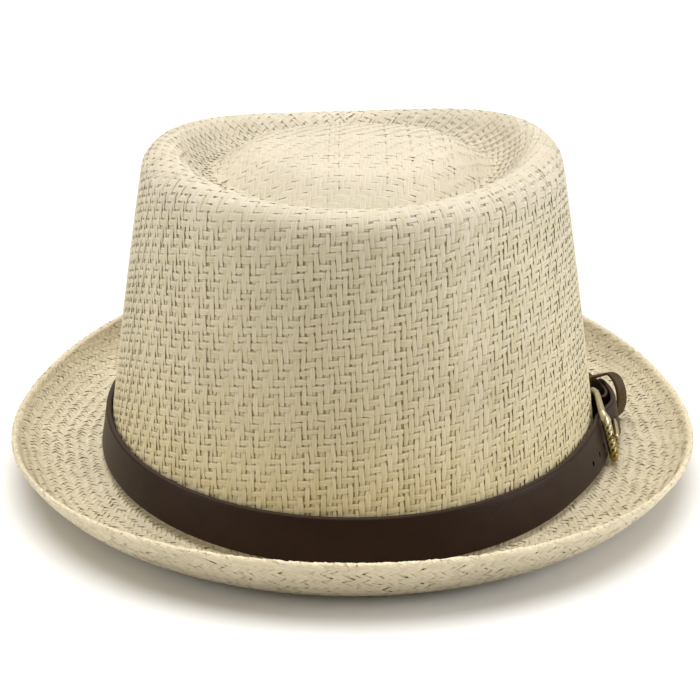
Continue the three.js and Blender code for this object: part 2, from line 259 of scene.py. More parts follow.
def gridFaces(rows, cols, closed):
    r, c = np.meshgrid(np.arange(rows - 1), np.arange(cols if closed else cols - 1), indexing="ij")
    here, beside = r * cols + c, r * cols + (c + 1) % cols
    return np.stack([here, here + cols, beside + cols, beside], -1).reshape(-1, 4)


def newMaterial(name, finish, *tones):  # finish adds the nodes and gives what goes into the shader
    material = bpy.data.materials.new(name)
    material.use_nodes = True
    tree = material.node_tree
    tree.nodes.clear()
    shader = addNode(tree, "BsdfPrincipled", finish(partial(addNode, tree), *tones))
    addNode(tree, "OutputMaterial", {0: shader})
    return material


def wovenStraw(add, tones):
    # Paper raffia straw, rolled flat and woven: matt, with fine lengthwise fibres and each straw a little
    # different in colour
    streak, bleach, gap = tones["streak"], tones["bleach"], tones["gap"]
    shade = add("Attribute", attribute_name="shade").outputs["Fac"]
    at = add("Attribute", attribute_name="strawAt").outputs["Vector"]
    place = add("TexCoord").outputs["Object"]
    y, z = add("SeparateXYZ", {0: place}).outputs[1:]
    fibre = add("VectorMath", {0: at, 1: (5.5, 0.35, 1)}, operation="MULTIPLY")
    lines = add("TexNoise", {"Vector": fibre, "Scale": 1.0, "Detail": 2})
    cloud = add("TexNoise", {"Vector": place, "Scale": 28, "Detail": 2})
    colour = add("Mix", {0: shade, 6: tones["dark"], 7: tones["light"]}, data_type="RGBA")
    lineShare = add("MapRange", {0: lines, 1: 0.3, 2: 0.7, 3: 1 - streak, 4: 1 + streak / 3})
    cloudShare = add("MapRange", {0: cloud, 1: 0.3, 2: 0.7, 3: 0.94, 4: 1.05})
    both = add("Math", {0: lineShare, 1: cloudShare}, operation="MULTIPLY")
    colour = add("VectorMath", {0: colour, "Scale": both}, operation="SCALE")
    # painted light by height: brighter and warmer at the foot, darker in the middle, bluer at the top
    up = add("MapRange", {0: z, 1: 0.01, 2: 0.105})
    paintedLightByHeight = add("ValToRGB", {0: up})
    ramp, heights = paintedLightByHeight.color_ramp, tones["heights"]
    for element, (share, tone) in zip(ramp.elements, (heights[0], heights[-1])):
        element.position, element.color = share, tone
    for share, tone in heights[1:-1]:
        ramp.elements.new(share).color = tone
    colour = add("VectorMath", {0: colour, 1: paintedLightByHeight}, operation="MULTIPLY")
    # painted light: brighter towards the front, darker behind
    forward = add("MapRange", {0: y, 1: -0.02, 2: -0.09, 3: 1 - bleach, 4: 1 + bleach})
    colour = add("VectorMath", {0: colour, "Scale": forward}, operation="SCALE")
    # painted light and shade on the curled front: its upward-facing side is painted brighter, its outer side
    # darker towards the floor and a little paler at the top edge
    frontShare = add("MapRange", {0: y, 1: -0.105, 2: -0.12})
    toneShift = add("MapRange", {0: z, 1: 0.004, 2: 0.017, 3: -0.33, 4: 0.06})
    level = add("SeparateXYZ", {0: add("NewGeometry").outputs["Normal"]}).outputs[2]
    below = add("MapRange", {0: level, 1: 0.35, 2: -0.05})
    change = add("Mix", {0: below, 2: 0.16, 3: toneShift}, data_type="FLOAT")
    paintedLipLightAndShade = add("Math", {0: frontShare, 1: change, 2: 1.0}, operation="MULTIPLY_ADD")
    colour = add("VectorMath", {0: colour, "Scale": paintedLipLightAndShade}, operation="SCALE")
    # painted shade here and there along a straw's sides, as in the gaps between straws, less at the very
    # front
    across = add("SeparateXYZ", {0: at}).outputs[0]
    off = add("Math", {0: across}, operation="ABSOLUTE")
    side = add("MapRange", {0: off, 1: 0.26, 2: 0.5})
    broken = add("TexNoise", {"Vector": place, "Scale": 420, "Detail": 1})
    reach = add("MapRange", {0: y, 1: -0.118, 2: -0.13, 3: gap, 4: gap * 0.4})
    here = add("MapRange", {0: broken, 1: 0.4, 2: 0.6, 3: 0, 4: reach})
    shadow = add("Math", {0: side, 1: here}, operation="MULTIPLY")
    colour = add("Mix", {0: shadow, 6: colour, 7: "#6E5A3A"}, data_type="RGBA")
    bump = add("Bump", {"Height": lines, "Strength": 0.5, "Distance": 0.00012})
    return {"Base Color": colour, "Roughness": 0.62, "Normal": bump, "Specular IOR Level": 0.35}


def strawGround(add):
    # The same straw seen between and under the floats, darker and browner as painted shade, and paler at the
    # sides and on top as painted light
    place = add("TexCoord").outputs["Object"]
    parts = add("SeparateXYZ", {0: place}).outputs
    noise = add("TexNoise", {"Vector": place, "Scale": 900, "Detail": 2})
    colour = add("Mix", {0: noise, 6: "#96845A", 7: "#B2A074"}, data_type="RGBA")
    aside = add("Math", {0: parts[0]}, operation="ABSOLUTE")
    paintedSideLight = add("MapRange", {0: aside, 1: 0.02, 2: 0.075, 3: 0.0, 4: 0.6})
    height = add("MapRange", {0: parts[2], 1: 0.088, 2: 0.104})
    for share, tone in ((paintedSideLight, "#C9B98E"), (height, "#CDBE96")):
        colour = add("Mix", {0: share, 6: colour, 7: tone}, data_type="RGBA")
    bump = add("Bump", {"Height": noise, "Strength": 0.6, "Distance": 0.0003})
    return {"Base Color": colour, "Roughness": 0.8, "Normal": bump}


def beltLeather(add, dark, light, edge):
    # Bovine leather strap, dyed dark brown and lightly polished: soft sheen, fine grain, paler at cut edges
    place = add("TexCoord").outputs["Object"]
    grain = add("TexVoronoi", {"Vector": place, "Scale": 1400})
    mottle = add("TexNoise", {"Vector": place, "Scale": 120, "Detail": 4})
    cutEdge = add("Attribute", attribute_name="cutEdge").outputs["Fac"]
    face = add("Mix", {0: mottle, 6: dark, 7: light}, data_type="RGBA")
    colour = add("Mix", {0: cutEdge, 6: face, 7: edge}, data_type="RGBA")
    bump = add("Bump", {"Height": grain, "Strength": 0.25, "Distance": 0.00015})
    return {"Base Color": colour, "Roughness": 0.45, "Normal": bump, "Specular IOR Level": 0.2,
            "Specular Tint": (1.0, 0.82, 0.68, 1)}


def agedBrass(add):
    # Cast brass, lacquer worn: pale champagne where it is rubbed, brown in the hollows
    place = add("TexCoord").outputs["Object"]
    noise = add("TexNoise", {"Vector": place, "Scale": 500, "Detail": 4})
    hollow, gilt = [add("Attribute", attribute_name=label).outputs["Fac"] for label in ("hollow", "gilt")]
    toneShift = add("MapRange", {0: noise, 1: 0.35, 2: 0.65, 3: -0.2, 4: 0.2})
    share = add("Math", {0: gilt, 1: toneShift}, operation="ADD", use_clamp=True)
    tone = add("Mix", {0: share, 6: "#D6D0B6", 7: "#A38D4E"}, data_type="RGBA")
    colour = add("Mix", {0: hollow, 6: tone, 7: "#1C140A"}, data_type="RGBA")
    rough = add("MapRange", {0: noise, 3: 0.28, 4: 0.5})
    return {"Base Color": colour, "Metallic": 1.0, "Roughness": rough}


def studioPaper(add):
    # Seamless studio paper: plain, white and matt
    return {"Base Color": "#E8E8E8", "Roughness": 0.9, "Specular IOR Level": 0.1}


crownTones = {
    "dark": "#CBC19A", "light": "#DAD0B1", "streak": 0.3, "gap": 0.0, "bleach": 0.0,
    "heights": [(0, (1.14, 1.1, 1.01, 1)), (0.45, (0.965, 0.952, 0.99, 1)), (0.84, (0.975, 0.985, 1.065, 1)),
                (0.96, (1.024, 1.026, 1.215, 1))],  # share of the way up, tone: painted light, brighter and warmer at the foot, bluer at the top
}
# the brim's copy of the crown's straw: its tone set apart from the crown's to match how the brim is lit, with
# painted gap shade and painted front light
brimTones = {
    "dark": "#D1C4A5", "light": "#E1D5B8", "streak": 0.3, "gap": 0.25, "bleach": 0.05,
    "heights": [(0, (1.005, 1.01, 1.018, 1)), (1, (0.965, 1.01, 1.12, 1))],
}
strawMaterial = newMaterial("paper_raffia_straw", wovenStraw, crownTones)
brimMaterial = newMaterial("paper_raffia_straw_of_brim_painted_light_and_shade", wovenStraw, brimTones)
groundMaterial = newMaterial("straw_underlayer", strawGround)
leatherMaterial = newMaterial("dyed_strap_leather", beltLeather, "#1C110D", "#2B1A15", "#36271F")
# the keeper is the strap's dyed leather, painted lighter and olive-brown as the light reflected onto it from
# the straw
keeperMaterial = newMaterial("dyed_strap_leather_painted_straw_light", beltLeather, "#33240F", "#47351A", "#4A381C")
brassMaterial = newMaterial("worn_cast_brass", agedBrass)
floorMaterial = newMaterial("matt_white_paper", studioPaper)
print("materials made")

# ground shell under the straws, at every second row and column but for its edge
outsideRows = np.arange(1, keyRow["edge"], 2)
edgeRows = np.arange(keyRow["edge"], innerRow(keyRow["edge"]))
insideRows = np.arange(innerRow(keyRow["edge"]), shellRows - 1, 2)
groundShell = shell[np.concatenate([outsideRows, edgeRows, insideRows])][:, ::2]
groundCount, groundColumns = groundShell.shape[:2]
shellFaces = gridFaces(groundCount, groundColumns, True).tolist()
firstPole, lastRing = groundCount * groundColumns, (groundCount - 1) * groundColumns
for i in range(groundColumns):
    shellFaces.append((firstPole, i, (i + 1) % groundColumns))
    shellFaces.append((firstPole + 1, lastRing + (i + 1) % groundColumns, lastRing + i))
shellPoints = np.concatenate([groundShell.reshape(-1, 3), [shell[0, 0], shell[-1, 0]]])
groundMesh = makeMesh("straw_ground", shellPoints, shellFaces)
makePiece("straw_ground", groundMesh, groundMaterial, ("straw_body",))

# straws laid on the surface
straws = {
    "upPitch": 1.63, "aroundPitch": 2.54,  # straws that run up the crown, and round it
    "crownWidths": (1.38, 1.5), "tipWidths": (1.34, 2.05), "lift": 0.18, "tipLift": 0.2,
    "middle": 0.33, "sink": 0.8,  # a straw waves about the one height and sinks by the other at an edge
    "uneven": 0.1, "stack": 1.2, "broaden": 0.18, "flatten": -0.55,  # the last two where the hat is pressed
    "cone": 557, "twist": -1.5, "rowSlope": 5,  # the flat weave is wrapped as a cone of this radius
    "wander": 1.5, "wanderScale": 130, "jitter": 0.15, "widthSpread": 0.16, "shadeSpread": 0.15,
    "brimPitch": 1.75, "brimWidth": 1.47, "brimCount": 278, "brimLift": 0.16,  # woven on the bias
    "brimSquash": 1.25, "brimStray": 0.9, "brimShift": 0.2, "brimTurn": 0.1, "brimShade": 0.12,
    "lipPitch": 5.6, "lipWidth": 3.1, "lipLength": 8.8, "lipLean": 26, "lipLift": 0.3,  # at the brim's edge
    "seed": 7,
}
brimAround = straws["brimCount"] * straws["brimPitch"] * math.sqrt(2)


def strawShape(name, across, ys, heights, waist=0.0):  # a stretch of one straw, 1 by 1, over and under others
    points = []
    for y, height in zip(ys, heights):
        for x in np.linspace(-0.5, 0.5, across + 1):
            points.append((x * (1 + waist * height), y, height - 0.55 * (abs(x) / 0.5) ** 2))
    mesh = makeMesh(name, points, gridFaces(len(ys), across + 1, False)[:, ::-1].tolist(), 1)
    addValues(mesh, {"strawAt": np.array(points) * (1, 1, 0)})
    return addObject(name, mesh)


def layStrawsTree():  # lays flat straws on a surface by its flat map
    tree = bpy.data.node_groups.new("lay_straws", "GeometryNodeTree")
    add = partial(addNode, tree)
    floats = ("Lift", "Middle", "Sink", "Wander", "Broaden", "Flatten", "Floor", "Uneven")
    for kind, labels in (("Geometry", ("Geometry",)), ("Object", ("Surface", "Straw")), ("Float", floats),
                         ("Int", ("Seed",)), ("Material", ("Material",))):
        for label in labels:
            tree.interface.new_socket(label, in_out="INPUT", socket_type="NodeSocket" + kind)
    tree.interface.new_socket("Geometry", in_out="OUTPUT", socket_type="NodeSocketGeometry")
    start = add("NodeGroupInput").outputs
    surface, straw = [add("GeometryNodeObjectInfo", {"Object": start[label]}).outputs["Geometry"]
                      for label in ("Surface", "Straw")]
    own = {}
    for kind, labels in (("FLOAT_VECTOR", ("flat", "outward", "size")), ("BOOLEAN", ("missed",)),
                         ("FLOAT", ("keep", "calm", "heading", "shadeAt", "liftShare"))):
        for label in labels:
            own[label] = add("GeometryNodeInputNamedAttribute", {"Name": label}, data_type=kind)
    place = add("GeometryNodeInputPosition")

    # every corner of every straw wanders a little on the map
    scaled = add("VectorMath", {0: place, "Scale": straws["wanderScale"]}, operation="SCALE")
    noise = add("TexNoise", {"Vector": scaled, "Scale": 1.0, "Detail": 2}).outputs["Color"]
    centred = add("VectorMath", {0: noise, 1: (0.5, 0.5, 0.5)}, operation="SUBTRACT")
    drift = add("VectorMath", {0: centred, "Scale": start["Wander"]}, operation="SCALE")
    spot = add("VectorMath", {0: place, 1: drift}, operation="ADD")
    inside, pressed, onSurface, upward, held = [
        add("GeometryNodeSampleUVSurface", {"Mesh": surface, "Value": value, "Source UV Map": own["flat"],
                                            "Sample UV": at}, data_type=kind)
        for value, at, kind in ((own["keep"], place, "FLOAT"), (own["calm"], place, "FLOAT"),
                                (place, spot, "FLOAT_VECTOR"), (own["outward"], spot, "FLOAT_VECTOR"),
                                (own["keep"], spot, "FLOAT"))]

    # straws whose middle lies off the map are dropped
    outer = add("FunctionNodeCompare", {0: inside, 1: 0.999}, operation="LESS_THAN")
    off = add("FunctionNodeBooleanMath", {0: inside.outputs["Is Valid"]}, operation="NOT")
    drop = add("FunctionNodeBooleanMath", {0: outer, 1: off}, operation="OR")
    spots = add("GeometryNodeDeleteGeometry", {"Geometry": start["Geometry"], "Selection": drop})
    points = add("GeometryNodeMeshToPoints", {"Mesh": spots})

    # where the hat is pressed flat the straws are broader and rise less
    broad, low = [add("Math", {0: pressed, 1: start[label], 2: 1.0}, operation="MULTIPLY_ADD")
                  for label in ("Broaden", "Flatten")]
    press = add("CombineXYZ", {0: broad, 1: 1.0, 2: low})
    size = add("VectorMath", {0: own["size"], 1: press}, operation="MULTIPLY")
    spin = add("CombineXYZ", {2: own["heading"]})
    laid = add("GeometryNodeInstanceOnPoints",
               {"Points": points, "Instance": straw, "Rotation": spin, "Scale": size})
    least, most = [add("Math", {0: 1.0, 1: start["Uneven"]}, operation=way) for way in ("SUBTRACT", "ADD")]
    random = add("FunctionNodeRandomValue", {2: least, 3: most, "Seed": start["Seed"]}, data_type="FLOAT")
    for label, value in (("shade", own["shadeAt"]), ("liftShare", random)):
        laid = add("GeometryNodeStoreNamedAttribute", {"Geometry": laid, "Name": label, "Value": value},
                   data_type="FLOAT", domain="INSTANCE")
    real = add("GeometryNodeRealizeInstances", {"Geometry": laid})

    # then it moves from the flat map onto the surface, but not below the floor
    level = add("SeparateXYZ", {0: place}).outputs[2]
    lift = add("Math", {0: start["Lift"], 1: own["liftShare"]}, operation="MULTIPLY")
    rise = add("Math", {0: level, 1: lift, 2: start["Middle"]}, operation="MULTIPLY_ADD")
    out = add("Math", {0: 1.0, 1: held}, operation="SUBTRACT")
    dip = add("Math", {0: out, 1: start["Sink"]}, operation="MULTIPLY")
    height = add("Math", {0: rise, 1: dip}, operation="SUBTRACT")
    push = add("VectorMath", {0: upward, "Scale": height}, operation="SCALE")
    moved = add("VectorMath", {0: onSurface, 1: push}, operation="ADD")
    stack = add("Math", {0: own["liftShare"], 1: straws["stack"] * mm, 2: start["Floor"]},
                operation="MULTIPLY_ADD")
    anywhere = -10.0
    lowest = add("CombineXYZ", {0: anywhere, 1: anywhere, 2: stack})
    above = add("VectorMath", {0: moved, 1: lowest}, operation="MAXIMUM")
    missed = add("FunctionNodeBooleanMath", {0: onSurface.outputs["Is Valid"]}, operation="NOT")
    whole = add("GeometryNodeStoreNamedAttribute", {"Geometry": real, "Name": "missed", "Value": missed},
                data_type="BOOLEAN", domain="POINT")
    lifted = add("GeometryNodeSetPosition", {"Geometry": whole, "Position": above})
    clean = add("GeometryNodeDeleteGeometry", {"Geometry": lifted, "Selection": own["missed"]})
    painted = add("GeometryNodeSetMaterial", {"Geometry": clean, "Material": start["Material"]})
    add("NodeGroupOutput", {0: painted})
    return tree


layTree = layStrawsTree()


def flatSurface(name, points, normals, flat, keep, calm):  # a patch of the surface with its flat map
    mesh = makeMesh(name, points.reshape(-1, 3), gridFaces(*points.shape[:2], False).tolist())
    onMap = np.pad(np.asarray(flat, np.float32) * mm, ((0, 0), (0, 0), (0, 1)))
    calm = np.broadcast_to(calm, keep.shape)
    addValues(mesh, {"flat": onMap, "outward": normals, "keep": keep, "calm": calm})
    return addObject(name, mesh), flat


def layStraws(name, surface, groups, floorLevel=-1.0):
    # groups: (spots, headings, widths, lengths, shades, shape, lift) for each kind of straw
    parts = []
    for number, (spots, headings, widths, lengths, shades, shape, lift) in enumerate(groups):
        mesh = makeMesh(name + "_spots", np.pad(spots, ((0, 0), (0, 1))), [])
        ones = np.ones(len(spots))
        addValues(mesh, {"size": np.stack([ones * widths, ones * lengths, ones], -1) * mm,
                         "heading": headings, "shadeAt": shades})
        holder = addObject(name + "_spots", mesh)
        modifier = holder.modifiers.new("lay", "NODES")
        modifier.node_group = layTree
        values = {"Surface": surface, "Straw": shape, "Lift": lift, "Floor": floorLevel,
                  "Seed": straws["seed"] + number, "Material": strawMaterial}
        values.update({label.title(): straws[label] * mm for label in ("middle", "sink", "wander")})
        values.update({label.title(): straws[label] for label in ("broaden", "flatten", "uneven")})
        for item in layTree.interface.items_tree:
            if item.in_out == "INPUT" and item.name in values:
                modifier[item.identifier] = values[item.name]
        bpy.context.view_layer.update()
        evaluated = holder.evaluated_get(bpy.context.evaluated_depsgraph_get())
        parts.append(bpy.data.meshes.new_from_object(evaluated))
        bpy.data.objects.remove(holder)
    result = parts[0]
    if len(parts) > 1:
        holders = [addObject(name, part) for part in parts]
        with bpy.context.temp_override(active_object=holders[0], selected_editable_objects=holders):
            bpy.ops.object.join()
        result = holders[0].data
        bpy.data.objects.remove(holders[0])
    result.name = name
    print(name, "triangles:", sum(len(q.vertices) - 2 for q in result.polygons))
    return result


wavePlaces = np.array([-0.5, -0.37, -0.26, -0.13, 0.13, 0.26, 0.37, 0.5])
waveHeights = np.clip(1.5 * np.cos(2 * np.pi * wavePlaces), -1, 1)  # over two and under two
waveShape = strawShape("straw_over_and_under", 2, wavePlaces, waveHeights, 0.08)
innerShape = strawShape("straw_inside", 2, [-0.5, -0.25, 0, 0.25, 0.5], [-1, 0, 1, 0, -1])
lipPlaces, lipHeights = [-0.5, -0.38, -0.2, 0, 0.2, 0.38, 0.5], [-1.6, 0.5, 1, 1.1, 1, 0.5, -1.6]
lipShape = strawShape("straw_of_the_lip", 3, lipPlaces, lipHeights, 0.1)
rng = np.random.default_rng(straws["seed"])


def evenShade(count, vary=1.0):
    return np.clip(0.5 + rng.normal(0, straws["shadeSpread"] * vary, count), 0, 1)


def twill(flat, widths, lift, slope=0.0, shape=waveShape, vary=1.0):
    # Over two and under two, stepping one straw to the left for each row down. Each entry is one period
    px, py = straws["upPitch"], straws["aroundPitch"]
    tilt = math.tan(math.radians(slope))
    lean = math.atan(tilt)
    low, high = flat.reshape(-1, 2).min(0), flat.reshape(-1, 2).max(0)
    i0, i1 = int(low[0] / px) - 4, int(high[0] / px) + 5
    spare = int(abs(tilt) * max(abs(low[0]), abs(high[0])) / py) + 4
    j0, j1 = int(low[1] / py) - spare, int(high[1] / py) + spare
    i, j = np.meshgrid(np.arange(i0, i1), np.arange(j0, j1), indexing="ij")
    step = (i - j) % 4
    up, level = step == 0, step == 3
    counts = (i1 - i0, j1 - j0)
    shades = [evenShade(count, vary) for count in counts]
    wides = [1 + rng.normal(0, straws["widthSpread"], count) for count in counts]
    shifts = [rng.normal(0, straws["jitter"] * more, count) for count, more in zip(counts, (1, 1.4))]
    upX, aroundX = i[up] * px, (i[level] - 0.5) * px
    upNumber, aroundNumber = i[up] - i0, j[level] - j0
    sets = ((upNumber, upX + shifts[0][upNumber], (j[up] - 0.5) * py + upX * tilt, 0, 0.022, 4 * py),
            (aroundNumber, aroundX, j[level] * py + aroundX * tilt + shifts[1][aroundNumber],
             math.pi / 2 + lean, 0.03, 4 * px / math.cos(lean)))
    groups = []
    for (number, x, y, heading, stray, length), shade, wide, width in zip(sets, shades, wides, widths):
        headings = heading + rng.normal(0, stray, len(x))
        shade = np.clip(shade[number] + rng.normal(0, 0.1 * vary, len(x)), 0, 1)
        groups.append((np.stack([x, y], -1), headings, width * wide[number], length, shade, shape, lift))
    return groups


def bias(flat):  # the same weave on the bias: its straws lean to the left and to the right
    pitch = straws["brimPitch"]
    half = pitch / math.sqrt(2)
    low, high = flat.reshape(-1, 2).min(0), flat.reshape(-1, 2).max(0)
    rows = np.arange(int(low[1] / (4 * half)) - 1, int(high[1] / (4 * half)) + 2)
    cols = np.arange(int(low[0] / (2 * half)) - 1, int(high[0] / (2 * half)) + 2)
    c, r = [axis.ravel() for axis in np.meshgrid(cols, rows, indexing="ij")]
    groups = []
    for sign, offset in ((1, 0), (-1, 2)):
        spots = np.stack([(2 * c - 0.5 * sign) * half, (4 * r + offset + 0.5) * half], -1)
        strand = c - 2 * r * sign  # the same straw, seen over others again and again
        strand -= strand.min()
        count = strand.max() + 1
        wide = 1 + rng.normal(0, straws["widthSpread"], count)[strand]
        shade = evenShade(count)[strand]
        shade = np.clip(shade + rng.normal(0, straws["brimShade"], len(strand)), 0, 1)
        once = (spots[:, 0] >= 0) & (spots[:, 0] < brimAround - 0.01)
        spots, wide, shade = spots[once], wide[once], shade[once]
        spots = spots + rng.normal(0, straws["brimShift"], spots.shape)
        headings = -sign * math.pi / 4 + rng.normal(0, straws["brimTurn"], len(spots))
        wide = straws["brimWidth"] * wide
        groups.append((spots, headings, wide, 4 * pitch, shade, waveShape, straws["brimLift"]))
    return groups


def patch(first, last, before, after):  # rows of the shell with margins where straws end under the next ones
    low, high = max(first - before, 1), min(last + after, shellRows - 2)
    picked, normals = shell[low:high + 1], shellNormal[low:high + 1]
    keep = np.ones(len(picked))
    keep[:first - low] = np.linspace(0, 1, first - low, endpoint=False)
    keep[last - low + 1:] = np.linspace(1, 0, high - last + 1)[1:]
    return picked, normals, keep, low


def wrapped(first, last, name, before, after, foot):
    # Crown: the flat weave is wrapped as a cone, so that its rows climb to the back
    picked, normals, keepRows, low = patch(first, last, before, after)
    run = np.linalg.norm(np.diff(picked, axis=0), axis=-1).mean(1)
    level = np.concatenate([[0], np.cumsum(run)])
    level -= level[foot - low]
    inside = foot != keyRow["foot"]
    radius = straws["cone"] + (-level if inside else level)
    cols = np.arange(-2, columns + 3)
    angle = (cols / columns - 0.5) * basePerimeter / straws["cone"]
    x = radius[:, None] * np.sin(angle)[None]
    y = -radius[:, None] * np.cos(angle)[None] + straws["cone"]
    if inside:
        y = -y
    c, s = math.cos(math.radians(straws["twist"])), math.sin(math.radians(straws["twist"]))
    flat = np.stack([x * c - y * s, x * s + y * c], -1)
    keep = keepRows[:, None] * np.ones(len(cols))
    keep[:, [0, -1]] = 0
    keep[:, [1, -2]] *= 0.5
    rows = np.arange(len(picked)) + low
    if inside:
        rows = innerRow(rows)
    calm = np.interp(rows, keyRow["crest"] + np.array([-14, -8, -3, 4, 14]), [0, 0.2, 1, 1, 0])[:, None]
    return flatSurface(name, picked[:, cols % columns], normals[:, cols % columns], flat, keep, calm)


def planar(first, last, name, before, after, side):  # the tip's weave lies flat, in line with the front
    picked, normals, keepRows, low = patch(first, last, before, after)
    order = side > 0  # outside the pole's ring comes before the others, inside after them
    pole, ring = (shell[0, 0], picked[:1]) if order else (shell[-1, 0], picked[-1:])
    cap = np.repeat(pole[None, None], columns, 1) + (ring - pole) * 0.02
    capNormal = np.broadcast_to(np.array([0.0, 0.0, side]), cap.shape)
    picked, normals, keepRows = [np.concatenate(pair if order else pair[::-1]) for pair in (
        (cap, picked), (capNormal, normals), ([1], keepRows))]
    cols = np.arange(0, columns + 1) % columns
    picked, normals = picked[:, cols], normals[:, cols]
    flat = np.stack([picked[..., 0] * side, picked[..., 1]], -1)
    return flatSurface(name, picked, normals, flat, keepRows[:, None] * np.ones(len(cols)), np.ones(1))


def ringMap(first, last, name, before, after, start):
    # Brim: the map runs round in one direction, outwards and back under in the other, and meets itself
    picked, normals, keepRows, low = patch(first, last, before, after)
    run = np.linalg.norm(np.diff(picked, axis=0), axis=-1)
    depth = np.concatenate([np.zeros((1, columns)), np.cumsum(run, 0)])
    depth -= depth[start - low]
    cols = np.arange(-6, columns + 7)
    turn = 2 * np.pi * cols / columns
    # no row keeps to its circle
    stray = straws["brimStray"] * (np.sin(5 * turn + 0.7) + 0.7 * np.sin(11 * turn + 2))
    x = np.broadcast_to(cols / columns * brimAround, (len(picked), len(cols)))
    flat = np.stack([x, stray[None] - depth[:, cols % columns] * straws["brimSquash"]], -1)
    keep = keepRows[:, None] * np.ones(len(cols))
    rows = np.arange(len(picked)) + low
    calm = np.interp(rows, keyRow["edge"] + np.array([-14, -5, 8, 20, 32]), [0, 0.5, 0.6, 1, 0])[:, None]
    return flatSurface(name, picked[:, cols % columns], normals[:, cols % columns], flat, keep, calm)


pieces = {}


def layCrown(part, surface, flat, slope, shape):  # its two directions are two pieces
    groups = twill(flat, straws["crownWidths"], straws["lift"], slope, shape)
    for label, group in zip((part + "_straws_up", part + "_straws_around"), groups):
        pieces[label] = layStraws(label, surface, [group])


crownMap, crownFlat = wrapped(keyRow["channel"], keyRow["foot"], "crown_map", 2, 3, keyRow["foot"])
layCrown("crown", crownMap, crownFlat, straws["rowSlope"], waveShape)
tipMap, tipFlat = planar(1, keyRow["channel"], "tip_map", 0, 3, 1)
tipGroups = twill(tipFlat, straws["tipWidths"], straws["tipLift"], vary=0.4)
pieces["tip_straws"] = layStraws("tip_straws", tipMap, tipGroups)
print("crown woven")

footRow = keyRow["foot"] + 2
brimMap, brimFlat = ringMap(footRow, innerRow(footRow), "brim_map", 3, 3, keyRow["foot"])
for label, group in zip(("brim_straws_left", "brim_straws_right"), bias(brimFlat)):
    pieces[label] = layStraws(label, brimMap, [group], -mm)
lipCount = int(brimAround / straws["lipPitch"])
lipX = (np.arange(lipCount) + 0.5) / lipCount * brimAround
lipRow = keyRow["edge"] + ground["edgeSteps"] // 2 - (keyRow["foot"] - 1)
lipDepth = np.interp(lipX, *brimFlat[lipRow].T)
lipGroups = []
for sign, offset in ((1, 0.5), (-1, -0.7)):
    spots = np.stack([lipX + sign * straws["lipPitch"] / 4, lipDepth + offset], -1)
    spots = spots + rng.normal(0, 0.15, (lipCount, 2))
    headings = math.pi / 2 + sign * math.radians(straws["lipLean"]) + rng.normal(0, 0.06, lipCount)
    widths = straws["lipWidth"] * (1 + rng.normal(0, 0.08, lipCount))
    lipGroups.append((spots, headings, widths, straws["lipLength"], evenShade(lipCount), lipShape,
                      straws["lipLift"]))
pieces["brim_lip_straws"] = layStraws("brim_lip_straws", brimMap, lipGroups, -mm)
print("brim woven")

innerFoot, innerChannel = innerRow(keyRow["foot"]), innerRow(keyRow["channel"])
insideMap, insideFlat = wrapped(innerFoot, innerChannel, "inside_map", 3, 2, innerFoot)
layCrown("inside", insideMap, insideFlat, -straws["rowSlope"], innerShape)
innerTipMap, innerTipFlat = planar(innerChannel, shellRows - 2, "inner_tip_map", 3, 0, -1)
innerTipGroups = twill(innerTipFlat, straws["tipWidths"], straws["tipLift"], shape=innerShape)
pieces["inner_tip_straws"] = layStraws("inner_tip_straws", innerTipMap, innerTipGroups)
for label, mesh in pieces.items():
    makePiece(label, mesh, brimMaterial if label.startswith("brim") else strawMaterial)
print("inside woven")

# belt, its buckle and its keeper. Along runs from the hat's right side to its back, out away from the crown
belt = {
    "high": 12.6, "lift": 2.8, "round": 0.42, "wallSteps": 56, "steps": 4,
    "onWall": (1.5, 1.9, 0.3, 1),  # out, thick, how much further out its lower edge is, share of the height
    "foldRows": [(0.5, 1.2, 1, 0.7, 1), (-1.6, 1.2, 1, 0.7, 1),  # along, and the same
                 (-3.8, 1.1, 1, 0.7, 0.94), (-6.2, 1.95, 1, 0.7, 0.9), (-7.3, 3.8, 1.2, 0.6, 0.88),
                 (-6.2, 5.5, 1.2, 0.5, 0.94), (-3.4, 6.1, 1.2, 0.5, 1), (1, 5.7, 1.4, 0.5, 1),
                 (7, 4.7, 1.7, 0.5, 1), (15, 3.2, 1.9, 0.4, 1), (23, 2, 1.9, 0.3, 1), (31, 1.5, 1.9, 0.3, 1)],
    "tailRows": [(-66, 1.5, 1.9, 0.4, 1), (-54, 1.9, 1.9, 1.1, 1), (-42, 2.5, 1.9, 1.8, 1),
                 (-30.5, 2.95, 1.9, 1.9, 1), (-26.5, 3.2, 1.9, 1.8, 1), (-21, 4.9, 1.9, 1.4, 1),
                 (-12, 7.7, 1.9, 0.9, 1), (-3, 7.9, 1.9, 0.6, 1), (5, 7.0, 1.9, 0.5, 1),
                 (9, 6.4, 1.9, 0.5, 0.96), (11.6, 6.1, 1.9, 0.5, 0.74), (13, 6, 1.9, 0.5, 0.36)],
    "firstHole": -17, "holePitch": 8, "holes": 5, "holeRadius": 0.9, "holeBelow": 1.7,
    "sag": 1.3, "sagTurn": -76,  # how much lower its lower edge hangs at the front
}
buckle = {
    "heel": (-4, 3.4), "near": (-30.5, 5.4), "half": 7.8, "corner": 2.4, "lean": 0.15,  # along, out
    "bar": 0.85, "nearWide": 2.1, "nearThick": 1.35, "nearLong": 2.4, "nearOut": 0.55, "faceTurn": 20,
    "drawnIn": 1.8, "stoutWide": 0.5, "stoutThick": 0.35, "notchPitch": 2, "notchDepth": 0.75,
    "prong": 0.8, "prongRest": 0.9, "clearance": 0.35,
}
keeper = {
    "along": 4.4, "skew": 0.25, "inner": 1.15, "outer": 12.8, "half": 7.7, "corner": 2,
    "wide": 5, "thick": 1.1, "tip": 0.3, "splay": 0.8, "rise": 1.5,
}
beltMiddle = belt["lift"] + belt["high"] / 2


